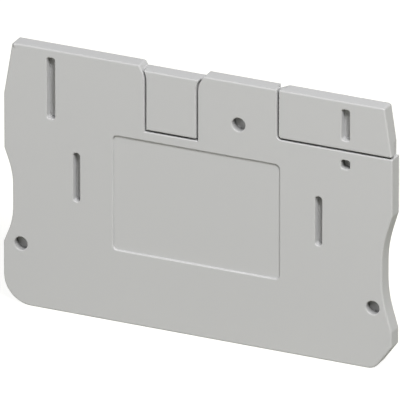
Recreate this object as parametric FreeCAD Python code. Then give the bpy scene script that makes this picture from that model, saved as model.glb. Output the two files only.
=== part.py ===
import FreeCAD, Part
import math
import os

# End cover of a terminal block row: one moulded plate that closes the open side of the last block.
# The origin is the centre of the mating face, +Z up. X runs along the cover, +Y points into the row
# of blocks, and the outer face looks to -Y. All sizes are in millimetres. A place is measured from
# the edge that it belongs to: left or right end, upper or lower edge of the outer face.

# Plate
plate_length = 57.7
plate_height = 38.4
plate_thickness = 2.2
outer_edge_radius = 0.2
corner_radius = 0.35

# Lower corners
lower_left_radius = 4.1
lower_right_chamfer_run = 2.57
lower_right_chamfer_rise = 3.56
lower_right_toe_radius = 2.0

# Finger scallops in the two ends: a straight floor, straight flanks and a wide blend between them
left_scallop_middle = 15.85
left_scallop_mouth = 13.9
left_scallop_depth = 1.42
left_scallop_floor = 6.8
left_scallop_blend = 12.0
right_scallop_middle = 14.3
right_scallop_mouth = 16.95
right_scallop_depth = 1.46
right_scallop_floor = 7.1
right_scallop_blend = 21.5
scallop_mouth_radius = 0.6

# Upper ends lean inwards, above a small set-back at the left and a shoulder at the right, which is
# deeper on the mating side
left_set_back = 0.15
left_lean_run = 1.43
left_lean_height = 7.6
lean_start_radius = 2.0
right_lean_run = 1.2
right_shoulder_step = 0.08
right_relief_inset = 0.4
right_relief_height = 2.5

# Grooves round the two panels in the upper edge
groove_width = 0.3
groove_depth = 0.9

# Clip panel, which flares where it passes between the two neighbouring tabs
clip_panel_from_left = 21.35
clip_panel_width = 7.36
clip_panel_reach = 9.3
clip_panel_drop = 0.65
clip_panel_left_flare = 0.7
clip_panel_right_flare = 0.88
clip_panel_flare_height = 1.5
clip_panel_flare_radius = 3.0

# End panel, which reaches the upper right corner
end_panel_width = 16.75
end_panel_reach = 7.0
end_panel_corner_radius = 0.4

# Relief behind the joint of the end panel and the middle tab
relief_before_groove = 0.36
relief_floor_width = 0.2
relief_ramp_width = 1.15
relief_drop = 0.5
relief_depth = 1.1

# Shallow recess for a label, inset from the ends, the lower edge and the clip panel's groove
label_from_left = 16.38
label_from_right = 16.6
label_from_bottom = 10.6
label_below_groove = 1.35
label_depth = 0.25
label_corner_radius = 0.7

# Blind slots in the outer face: middle from the nearer end, nearer end of the slot from its edge
upper_slot_width = 1.2
upper_slot_corner_radius = 0.4
lower_slot_width = 1.0
lower_slot_corner_radius = 0.48
slot_depth = 1.2
upper_left_slot_from_left = 7.17
upper_left_slot_from_top = 1.24
upper_left_slot_length = 9.0
upper_right_slot_from_right = 6.91
upper_right_slot_from_top = 1.17
upper_right_slot_length = 4.55
lower_left_slot_from_left = 10.95
lower_right_slot_from_right = 10.85
lower_slots_from_bottom = 16.65
lower_slot_length = 7.2

# Ribs behind the slots
rib_wall = 0.15
rib_height = 1.2

# Round pegs, each behind a round blind hole
peg_radius = 0.9
peg_length = 1.6
peg_hole_radius = 0.97
peg_hole_depth = 1.35
upper_peg_from_left = 35.03
upper_peg_from_top = 6.12
left_peg_from_left = 2.6
right_peg_from_right = 2.82
lower_pegs_from_bottom = 9.0

# Square key behind the square blind hole, in line with the upper right slot
key_from_top = 9.18
key_hole_side = 1.3
key_hole_radius = 0.35
key_hole_depth = 1.3
key_wall = 0.3
key_length = 1.6

# Small edges
lip_chamfer = 0.08
tip_chamfer = 0.25

# Worked out from the sizes above
left_end = -plate_length / 2
bottom_edge = -plate_height / 2
mating_face = 0.0
outer_face = mating_face - plate_thickness
clip_panel_right = clip_panel_from_left + clip_panel_width
clip_panel_bottom = plate_height - clip_panel_reach
flare_start = plate_height - clip_panel_flare_height
end_panel_left = plate_length - end_panel_width
end_panel_bottom = plate_height - end_panel_reach
shoulder_z = end_panel_bottom - groove_width
upper_right_slot_x = plate_length - upper_right_slot_from_right
side_share = 0.49
tolerance = 1e-6
beyond = 1.0


def at(x, z, y):
    """Point x along and z up from the lower left corner, at depth y."""
    return FreeCAD.Vector(left_end + x, y, bottom_edge + z)


def rounded_face(corners, y):
    """Flat face through the corners (x, z, radius), each rounded by a tangent arc that its sides limit."""
    points = [at(x, z, y) for x, z, radius in corners]
    count = len(points)
    rounds = []
    for i, (x, z, radius) in enumerate(corners):
        before = points[i - 1] - points[i]
        after = points[(i + 1) % count] - points[i]
        half_turn = (math.pi - before.getAngle(after)) / 2
        reach = min(radius * math.tan(half_turn), side_share * min(before.Length, after.Length))
        before.normalize()
        after.normalize()
        start = points[i] + before * reach
        end = points[i] + after * reach
        middle = None
        if reach > tolerance:
            inward = (before + after).normalize()
            fitted = reach / math.tan(half_turn)
            middle = points[i] + inward * (fitted / math.cos(half_turn) - fitted)
        rounds.append((start, middle, end))
    edges = []
    for i, (start, middle, end) in enumerate(rounds):
        if middle is not None:
            edges.append(Part.Arc(start, middle, end).toShape())
        next_start = rounds[(i + 1) % count][0]
        if end.distanceToPoint(next_start) > tolerance:
            edges.append(Part.makeLine(end, next_start))
    return Part.Face(Part.Wire(edges))


def block(corners, y_from, y_to):
    """Solid with the rounded outline of corners, between two depths."""
    return rounded_face(corners, y_from).extrude(FreeCAD.Vector(0, y_to - y_from, 0))


def rectangle(x, z, width, height, radius):
    """Corners of an upright rectangle with its lower left corner at x, z."""
    return [
        (x, z, radius),
        (x + width, z, radius),
        (x + width, z + height, radius),
        (x, z + height, radius),
    ]


def scallop(lower_x, floor_x, upper_x, middle, mouth, floor, blend):
    """Corners of a finger scallop, from its lower mouth to its upper one."""
    return [
        (lower_x, middle - mouth / 2, scallop_mouth_radius),
        (floor_x, middle - floor / 2, blend),
        (floor_x, middle + floor / 2, blend),
        (upper_x, middle + mouth / 2, scallop_mouth_radius),
    ]


def left_flank(z, gap):
    """X of the clip panel's left flank at height z in its flare, at a gap from the panel."""
    return clip_panel_from_left - gap - clip_panel_left_flare / clip_panel_flare_height * (z - flare_start)


def right_flank(z, gap):
    """X of the clip panel's right flank at height z in its flare, at a gap from the panel."""
    return clip_panel_right + gap + clip_panel_right_flare / clip_panel_flare_height * (z - flare_start)


def clip_panel(gap):
    """Corners of the clip panel, grown by a gap on its sides and bottom and open at the top."""
    top = plate_height + beyond
    bottom = clip_panel_bottom - gap
    return [
        (clip_panel_from_left - gap, bottom, 0),
        (clip_panel_right + gap, bottom, 0),
        (clip_panel_right + gap, flare_start, clip_panel_flare_radius - gap),
        (right_flank(top, gap), top, 0),
        (left_flank(top, gap), top, 0),
        (clip_panel_from_left - gap, flare_start, clip_panel_flare_radius - gap),
    ]


def end_panel(gap):
    """Corners of the end panel, grown by a gap on its left and bottom and open at the other sides."""
    left = end_panel_left - gap
    bottom = end_panel_bottom - gap
    right = plate_length + beyond
    top = plate_height + beyond
    return [
        (left, bottom, end_panel_corner_radius + gap),
        (right, bottom, 0),
        (right, top, 0),
        (left, top, 0),
    ]


def plate_outline():
    """Corners of the plate, counter-clockwise from the lower left."""
    notch_floor = plate_height - clip_panel_drop
    right_scallop = scallop(
        plate_length, plate_length - right_scallop_depth, plate_length,
        right_scallop_middle, right_scallop_mouth, right_scallop_floor, right_scallop_blend,
    )
    left_scallop = scallop(
        0, left_scallop_depth, left_set_back,
        left_scallop_middle, left_scallop_mouth, left_scallop_floor, left_scallop_blend,
    )
    return [
        (0, 0, lower_left_radius),
        (plate_length - lower_right_chamfer_run, 0, lower_right_toe_radius),
        (plate_length, lower_right_chamfer_rise, corner_radius),
        *right_scallop,
        (plate_length, shoulder_z, corner_radius),
        (plate_length - right_shoulder_step, shoulder_z, 0),
        (plate_length - right_lean_run, plate_height, corner_radius),
        (right_flank(plate_height, groove_width), plate_height, corner_radius),
        (right_flank(notch_floor, groove_width), notch_floor, 0),
        (left_flank(notch_floor, groove_width), notch_floor, 0),
        (left_flank(plate_height, groove_width), plate_height, corner_radius),
        (left_lean_run, plate_height, corner_radius),
        (left_set_back, plate_height - left_lean_height, lean_start_radius),
        *reversed(left_scallop),
    ]


def edges_on(shape, y):
    """Edges of a shape that lie in the plane at depth y."""
    return [e for e in shape.Edges if abs(e.BoundBox.YMin - y) < tolerance and e.BoundBox.YLength < tolerance]


def plate():
    """The bare plate, with its outer edge rounded all the way round."""
    body = block(plate_outline(), mating_face, outer_face)
    return body.makeFillet(outer_edge_radius, edges_on(body, outer_face))


def groove(panel):
    """Groove round a panel, open to the outer face."""
    floor = outer_face + groove_depth
    return block(panel(groove_width), outer_face, floor).cut(block(panel(0), outer_face, floor))


def pocket(corners, depth):
    """Pocket sunk into the outer face."""
    return block(corners, outer_face, outer_face + depth)


def slot_corners(slot, wall):
    """Corners of a blind slot, or of the rib that stands round it at a wall's distance."""
    middle, low, width, length, radius = slot
    return rectangle(
        middle - width / 2 - wall, low - wall,
        width + 2 * wall, length + 2 * wall, radius + wall,
    )


def key_corners(wall):
    """Corners of the square key hole, or of the key that stands round it at a wall's distance."""
    side = key_hole_side + 2 * wall
    middle = plate_height - key_from_top
    return rectangle(upper_right_slot_x - side / 2, middle - side / 2, side, side, key_hole_radius + wall)


def label_corners():
    """Corners of the label recess."""
    width = plate_length - label_from_left - label_from_right
    top = clip_panel_bottom - groove_width - label_below_groove
    return rectangle(label_from_left, label_from_bottom, width, top - label_from_bottom, label_corner_radius)


def standing(corners, height):
    """Boss that stands on the mating face, with a chamfered tip and its foot sunk in the plate."""
    boss = block(corners, outer_face / 2, mating_face + height)
    return boss.makeChamfer(tip_chamfer, edges_on(boss, mating_face + height))


def peg(x, z):
    """Round snap peg on the mating face."""
    foot = at(x, z, outer_face / 2)
    pin = Part.makeCylinder(peg_radius, peg_length - outer_face / 2, foot, FreeCAD.Vector(0, 1, 0))
    return pin.makeChamfer(tip_chamfer, edges_on(pin, mating_face + peg_length))


def peg_hole(x, z):
    """Blind hole that cores a peg from the outer face."""
    mouth = at(x, z, outer_face)
    return Part.makeCylinder(peg_hole_radius, peg_hole_depth, mouth, FreeCAD.Vector(0, 1, 0))


def is_upright(face):
    """True for a wall that runs straight in from the outer face."""
    u_low, u_high, v_low, v_high = face.ParameterRange
    return abs(face.normalAt((u_low + u_high) / 2, (v_low + v_high) / 2).y) < tolerance


def mouth_edges(shape):
    """Edges of every groove, slot, hole and recess in the outer face, without the rounded outline."""
    return [e for e in edges_on(shape, outer_face) if any(map(is_upright, shape.ancestorsOfType(e, Part.Face)))]


def relief():
    """Small ramped cut in the upper edge, from the mating face."""
    left = end_panel_left - groove_width - relief_before_groove
    floor_z = plate_height - relief_drop
    floor_end = left + relief_floor_width
    rise = relief_drop + beyond
    ramp_end = floor_end + relief_ramp_width * rise / relief_drop
    corners = [
        (left, floor_z, 0),
        (floor_end, floor_z, 0),
        (ramp_end, floor_z + rise, 0),
        (left, floor_z + rise, 0),
    ]
    return block(corners, mating_face - relief_depth, mating_face + beyond)


def right_relief():
    """Small square cut above the shoulder in the right end, from the mating face."""
    left = plate_length - right_relief_inset
    width = right_relief_inset + beyond
    corners = rectangle(left, shoulder_z, width, right_relief_height, 0)
    return block(corners, mating_face - relief_depth, mating_face + beyond)


# Each slot is the x of its middle, the z of its lower end, its width, its length and its corner radius
slots = [
    (
        upper_left_slot_from_left,
        plate_height - upper_left_slot_from_top - upper_left_slot_length,
        upper_slot_width,
        upper_left_slot_length,
        upper_slot_corner_radius,
    ),
    (
        upper_right_slot_x,
        plate_height - upper_right_slot_from_top - upper_right_slot_length,
        upper_slot_width,
        upper_right_slot_length,
        upper_slot_corner_radius,
    ),
    (
        lower_left_slot_from_left,
        lower_slots_from_bottom,
        lower_slot_width,
        lower_slot_length,
        lower_slot_corner_radius,
    ),
    (
        plate_length - lower_right_slot_from_right,
        lower_slots_from_bottom,
        lower_slot_width,
        lower_slot_length,
        lower_slot_corner_radius,
    ),
]
pegs = [
    (upper_peg_from_left, plate_height - upper_peg_from_top),
    (left_peg_from_left, lower_pegs_from_bottom),
    (plate_length - right_peg_from_right, lower_pegs_from_bottom),
]

cover = plate()
for slot in slots:
    cover = cover.fuse(standing(slot_corners(slot, rib_wall), rib_height))
cover = cover.fuse(standing(key_corners(key_wall), key_length))
for x, z in pegs:
    cover = cover.fuse(peg(x, z))
cover = cover.removeSplitter()

for panel in (clip_panel, end_panel):
    cover = cover.cut(groove(panel))
cover = cover.cut(relief())
cover = cover.cut(right_relief())
cover = cover.cut(pocket(label_corners(), label_depth))
for slot in slots:
    cover = cover.cut(pocket(slot_corners(slot, 0), slot_depth))
cover = cover.cut(pocket(key_corners(0), key_hole_depth))
for x, z in pegs:
    cover = cover.cut(peg_hole(x, z))
cover = cover.makeChamfer(lip_chamfer, mouth_edges(cover))

os.makedirs("parts", exist_ok=True)
cover.exportStep("parts/end_cover.step")
print("valid", cover.isValid(), "solids", len(cover.Solids), "volume", round(cover.Volume, 1))
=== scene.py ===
import bpy
import math
import numpy as np
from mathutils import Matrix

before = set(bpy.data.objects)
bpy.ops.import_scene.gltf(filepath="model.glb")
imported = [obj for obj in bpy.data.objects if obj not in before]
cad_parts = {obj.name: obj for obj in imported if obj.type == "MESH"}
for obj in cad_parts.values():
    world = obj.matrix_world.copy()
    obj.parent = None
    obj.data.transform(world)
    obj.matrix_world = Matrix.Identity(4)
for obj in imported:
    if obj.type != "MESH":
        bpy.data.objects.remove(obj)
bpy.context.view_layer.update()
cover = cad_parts["end_cover"]

# Places and sizes, in metres
FLOOR_HEIGHT = -0.0192
FLOOR_REACH = 6.0
LAMP_DISTANCE = 0.8

# Camera: it stands far off, in front, to the right and above, and looks at a point near the middle
CAMERA_AZIMUTH = math.radians(24.5)
CAMERA_ELEVATION = math.radians(23.4)
CAMERA_DISTANCE = 2.252
CAMERA_TARGET = np.array([-0.0005, 0.0, 0.0])
CAMERA_LENS = 1500.0
CAMERA_SENSOR = 36.0
CAMERA_NEAR = 0.1
CAMERA_FAR = 20.0

# Colours in linear light
POLYAMIDE = (0.497, 0.497, 0.5, 1.0)
PALE_FLOOR = (0.22, 0.22, 0.17, 1.0)
WHITE = (1.0, 1.0, 1.0, 1.0)
NEUTRAL_LIGHT = (1.0, 1.0, 1.0)
WARM_LIGHT = (1.0, 1.0, 0.8)

# Part of the floor's white that it sends to the camera by itself; the lamps give the rest
FLOOR_GLOW = 0.92

# Lamps: name, azimuth and elevation in degrees, side in metres, share of a written colour, and colour
LAMPS = (
    ("key_lamp", 42.5, 47.5, 0.25, 1.2, NEUTRAL_LIGHT),
    ("fill_lamp", -40.0, 15.0, 0.6, 0.44, NEUTRAL_LIGHT),
    ("side_lamp", 85.0, 12.0, 0.6, 0.07, WARM_LIGHT),
    ("back_lamp", 183.0, 4.0, 0.3, 0.6, NEUTRAL_LIGHT),
)

# Moulded surface, in features per metre: soft flow marks, orange peel and the mould's fine erosion
FLOW_SCALE = 45.0
PEEL_SCALE = 900.0
GRAIN_SCALE = 9000.0

# Tone and roughness of the surface, and what the flow marks and the grain add to them
PLAIN_TONE = 0.985
FLOW_TONE = 0.02
GRAIN_TONE = 0.01
PLAIN_ROUGHNESS = 0.5
FLOW_ROUGHNESS = 0.08
GRAIN_ROUGHNESS = 0.06
POLYAMIDE_IOR = 1.53

# Relief of the surface, with the grain's part in it, and the radius to which edges are shaded
BUMP_STRENGTH = 0.12
BUMP_HEIGHT = 0.00004
GRAIN_PART = 0.75
EDGE_SOFTNESS = 0.0002

# Rays that the shader sends out for open air and for soft edges
SHADER_SAMPLES = 8

# Grooves, darkened by painted shade from an occlusion mask: how far open air is looked for, its levels
# where closed and open, and the tone where closed
AIR_REACH = 0.0006
AIR_CLOSED = 0.15
AIR_OPEN = 0.5
GROOVE_PAINTED_TONE = 0.1

# Blind holes in the outer face, darkened with painted shade: middles (x, z), reach with the lip, the
# places (y) of mouth and floor, the depth at which the painted shade on the walls is darkest, and the part
# of their tone that it takes off there
HOLES = ((0.00618, 0.01308), (-0.02625, -0.0102), (0.02603, -0.0102), (0.02194, 0.01002))
HOLE_REACH = 0.00105
HOLE_MOUTH = -0.0022
HOLE_FLOOR = -0.0009
HOLE_DARKEST = 0.0011
HOLE_PAINTED_SHADE = 0.62


class Socket:
    """An output socket of a shader node, with arithmetic that adds Math nodes."""

    def __init__(self, tree, output):
        self.tree = tree
        self.output = output

    def maths(self, operation, *operands):
        return self.tree.node("ShaderNodeMath", {"operation": operation}, dict(enumerate(operands)))[0]

    def __add__(self, other):
        return self.maths("ADD", self, other)

    def __radd__(self, other):
        return self.maths("ADD", other, self)

    def __sub__(self, other):
        return self.maths("SUBTRACT", self, other)

    def __rsub__(self, other):
        return self.maths("SUBTRACT", other, self)

    def __mul__(self, other):
        return self.maths("MULTIPLY", self, other)

    def __rmul__(self, other):
        return self.maths("MULTIPLY", other, self)

    def __lt__(self, other):
        return self.maths("LESS_THAN", self, other)

    def __gt__(self, other):
        return self.maths("GREATER_THAN", self, other)


class Outputs:
    """The output sockets of a shader node, found by name or by number."""

    def __init__(self, tree, node):
        self.tree = tree
        self.node = node

    def __getitem__(self, key):
        return Socket(self.tree, self.node.outputs[key])


class Tree:
    """The node tree of a new material or of the world."""

    def __init__(self, owner):
        owner.use_nodes = True
        self.nodes = owner.node_tree.nodes
        self.links = owner.node_tree.links
        self.nodes.clear()

    def node(self, kind, settings=None, values=None):
        """A node of a type, with its settings first, then the values or links of its sockets."""
        made = self.nodes.new(kind)
        for name, setting in (settings or {}).items():
            setattr(made, name, setting)
        for key, value in (values or {}).items():
            if isinstance(value, Socket):
                self.links.new(value.output, made.inputs[key])
            else:
                made.inputs[key].default_value = value
        return Outputs(self, made)

    def noise(self, place, scale, detail, roughness):
        """Level of a cloudy noise at a place, from 0 to 1 and mostly near the middle."""
        return self.node(
            "ShaderNodeTexNoise", {"noise_dimensions": "3D"},
            {"Vector": place, "Scale": scale, "Detail": detail, "Roughness": roughness},
        )["Fac"]

    def grey(self, level):
        """Grey colour of a level that changes over the surface."""
        return self.node("ShaderNodeCombineColor", {}, {0: level, 1: level, 2: level})[0]


def painted_groove_shade(tree, sideways):
    """Painted shade in narrow grooves: the colour is darker where little open air is near, and less so on
    walls that face the ends, in proportion to the square of the normal's X."""
    open_air = tree.node(
        "ShaderNodeAmbientOcclusion", {"samples": SHADER_SAMPLES, "only_local": True},
        {"Distance": AIR_REACH},
    )["AO"]
    return tree.node(
        "ShaderNodeMapRange", {"interpolation_type": "SMOOTHSTEP"},
        {
            "Value": open_air, "From Min": AIR_CLOSED, "From Max": AIR_OPEN,
            "To Min": GROOVE_PAINTED_TONE + (1.0 - GROOVE_PAINTED_TONE) * sideways * sideways, "To Max": 1.0,
        },
    )["Result"]


def painted_hole_shade(tree, place):
    """Painted shade in the blind holes' walls: the colour is as the face's at the mouth, and evenly darker
    with the depth.
    """
    parts = tree.node("ShaderNodeSeparateXYZ", {}, {0: place})
    flat = tree.node("ShaderNodeCombineXYZ", {}, {0: parts["X"], 2: parts["Z"]})[0]
    inside = 0.0
    for x, z in HOLES:
        gap = tree.node("ShaderNodeVectorMath", {"operation": "DISTANCE"}, {0: flat, 1: (x, 0.0, z)})
        inside = inside + (gap["Value"] < HOLE_REACH)
    deep = tree.node(
        "ShaderNodeMapRange", {},
        {"Value": parts["Y"], "From Min": HOLE_MOUTH, "From Max": HOLE_MOUTH + HOLE_DARKEST},
    )["Result"]
    before_floor = parts["Y"] < HOLE_FLOOR
    return 1.0 - HOLE_PAINTED_SHADE * inside * deep * before_floor


def moulded_polyamide():
    """Light grey polyamide from a finely eroded mould: even tone, a fine grain and soft flow marks, with
    painted shade in the narrow grooves and the blind holes.
    """
    material = bpy.data.materials.new("grey_polyamide")
    tree = Tree(material)
    coordinates = tree.node("ShaderNodeTexCoord")
    place = coordinates["Object"]
    sideways = tree.node("ShaderNodeSeparateXYZ", {}, {0: coordinates["Normal"]})["X"]
    flow = tree.noise(place, FLOW_SCALE, 2.0, 0.5)
    peel = tree.noise(place, PEEL_SCALE, 3.0, 0.5)
    grain = tree.noise(place, GRAIN_SCALE, 2.0, 0.6)
    tone = PLAIN_TONE + FLOW_TONE * flow + GRAIN_TONE * grain
    # Painted shade: the colour is darkened in the narrow grooves and down the blind holes' walls
    tone = tone * painted_groove_shade(tree, sideways) * painted_hole_shade(tree, place)
    colour = tree.node(
        "ShaderNodeMix", {"data_type": "RGBA", "blend_type": "MULTIPLY"},
        {"Factor": 1.0, 6: POLYAMIDE, 7: tree.grey(tone)},
    )[2]
    soft_edges = tree.node(
        "ShaderNodeBevel", {"samples": SHADER_SAMPLES}, {"Radius": EDGE_SOFTNESS},
    )["Normal"]
    bump = tree.node(
        "ShaderNodeBump", {},
        {
            "Strength": BUMP_STRENGTH, "Distance": BUMP_HEIGHT,
            "Height": GRAIN_PART * grain + (1.0 - GRAIN_PART) * peel, "Normal": soft_edges,
        },
    )["Normal"]
    surface = tree.node(
        "ShaderNodeBsdfPrincipled", {},
        {
            "Base Color": colour,
            "Roughness": PLAIN_ROUGHNESS + FLOW_ROUGHNESS * flow + GRAIN_ROUGHNESS * grain,
            "IOR": POLYAMIDE_IOR,
            "Normal": bump,
        },
    )["BSDF"]
    tree.node("ShaderNodeOutputMaterial", {}, {"Surface": surface})
    return material


def seen_directly(tree):
    """1 for rays from the camera, and for gloss and glass, and 0 for the light that a surface scatters."""
    rays = tree.node("ShaderNodeLightPath")
    seen = rays["Is Camera Ray"] + rays["Is Glossy Ray"] + rays["Is Transmission Ray"]
    return seen.maths("MINIMUM", seen, 1.0)


def white_floor():
    """Pale matt floor that the camera sees as white, with the object's shadow kept on it."""
    material = bpy.data.materials.new("studio_floor")
    tree = Tree(material)
    pale = tree.node("ShaderNodeBsdfDiffuse", {}, {"Color": PALE_FLOOR})["BSDF"]
    glow = tree.node("ShaderNodeEmission", {}, {"Color": WHITE, "Strength": FLOOR_GLOW})["Emission"]
    bright = tree.node("ShaderNodeAddShader", {}, {0: pale, 1: glow})[0]
    surface = tree.node("ShaderNodeMixShader", {}, {0: seen_directly(tree), 1: pale, 2: bright})[0]
    tree.node("ShaderNodeOutputMaterial", {}, {"Surface": surface})
    return material


def surface_grid(name, places, material):
    """Mesh from a grid of places (rows, columns, 3), joined by quads in row order."""
    rows, columns = places.shape[:2]
    numbers = np.arange(rows * columns).reshape(rows, columns)
    quads = np.stack(
        [numbers[:-1, :-1], numbers[:-1, 1:], numbers[1:, 1:], numbers[1:, :-1]], axis=-1
    ).reshape(-1, 4)
    mesh = bpy.data.meshes.new(name)
    mesh.from_pydata(places.reshape(-1, 3).tolist(), [], quads.tolist())
    mesh.materials.append(material)
    piece = bpy.data.objects.new(name, mesh)
    bpy.context.scene.collection.objects.link(piece)
    return piece


def studio_floor():
    """Flat square floor: x and y run evenly over the reach, and z is the height of the lower edge."""
    steps = np.linspace(-FLOOR_REACH, FLOOR_REACH, 3)
    x, y = np.meshgrid(steps, steps)
    places = np.stack([x, y, np.full_like(x, FLOOR_HEIGHT)], axis=-1)
    return surface_grid("studio_floor", places, white_floor())


def towards(azimuth, elevation):
    """Unit vector from the origin to a place in the round. Azimuth 0 is in front, +X is at 90 degrees."""
    return np.array([
        math.sin(azimuth) * math.cos(elevation),
        -math.cos(azimuth) * math.cos(elevation),
        math.sin(elevation),
    ])


def unit(vector):
    return vector / np.linalg.norm(vector)


def aimed(obj, place, target):
    """Puts an object at a place and turns its -Z axis to the target, with its X axis level."""
    back = unit(place - target)
    right = unit(np.cross((0.0, 0.0, 1.0), back))
    matrix = np.eye(4)
    matrix[:3, 0] = right
    matrix[:3, 1] = np.cross(back, right)
    matrix[:3, 2] = back
    matrix[:3, 3] = place
    obj.matrix_world = matrix.T.tolist()


def softbox(name, azimuth, elevation, size, share, colour):
    """Square area lamp at the lamps' distance, aimed at the origin. The share is the part of a surface's
    written colour that it lights where it faces the lamp."""
    lamp = bpy.data.lights.new(name, "AREA")
    lamp.shape = "SQUARE"
    lamp.size = size
    lamp.energy = share * (math.pi * LAMP_DISTANCE) ** 2
    lamp.color = colour
    obj = bpy.data.objects.new(name, lamp)
    bpy.context.scene.collection.objects.link(obj)
    direction = towards(math.radians(azimuth), math.radians(elevation))
    aimed(obj, LAMP_DISTANCE * direction, np.zeros(3))


def studio_world():
    """Even surround: white to the camera and in gloss and glass, and no light of its own elsewhere."""
    world = bpy.data.worlds.new("studio")
    bpy.context.scene.world = world
    tree = Tree(world)
    unlit = tree.node("ShaderNodeBackground", {}, {"Color": WHITE, "Strength": 0.0})["Background"]
    white = tree.node("ShaderNodeBackground", {}, {"Color": WHITE, "Strength": 1.0})["Background"]
    surface = tree.node("ShaderNodeMixShader", {}, {0: seen_directly(tree), 1: unlit, 2: white})[0]
    tree.node("ShaderNodeOutputWorld", {}, {"Surface": surface})


def photo_camera():
    """Camera with a long lens, at the place from which the cover looks as in the photo."""
    lens = bpy.data.cameras.new("camera")
    lens.lens = CAMERA_LENS
    lens.sensor_width = CAMERA_SENSOR
    lens.clip_start = CAMERA_NEAR
    lens.clip_end = CAMERA_FAR
    camera = bpy.data.objects.new("camera", lens)
    bpy.context.scene.collection.objects.link(camera)
    direction = towards(CAMERA_AZIMUTH, CAMERA_ELEVATION)
    aimed(camera, CAMERA_TARGET + CAMERA_DISTANCE * direction, CAMERA_TARGET)
    bpy.context.scene.camera = camera


cover.data.materials.clear()
cover.data.materials.append(moulded_polyamide())

studio_floor()
studio_world()
for lamp_row in LAMPS:
    softbox(*lamp_row)
photo_camera()

bpy.context.scene.view_settings.view_transform = "Standard"

bpy.context.view_layer.update()
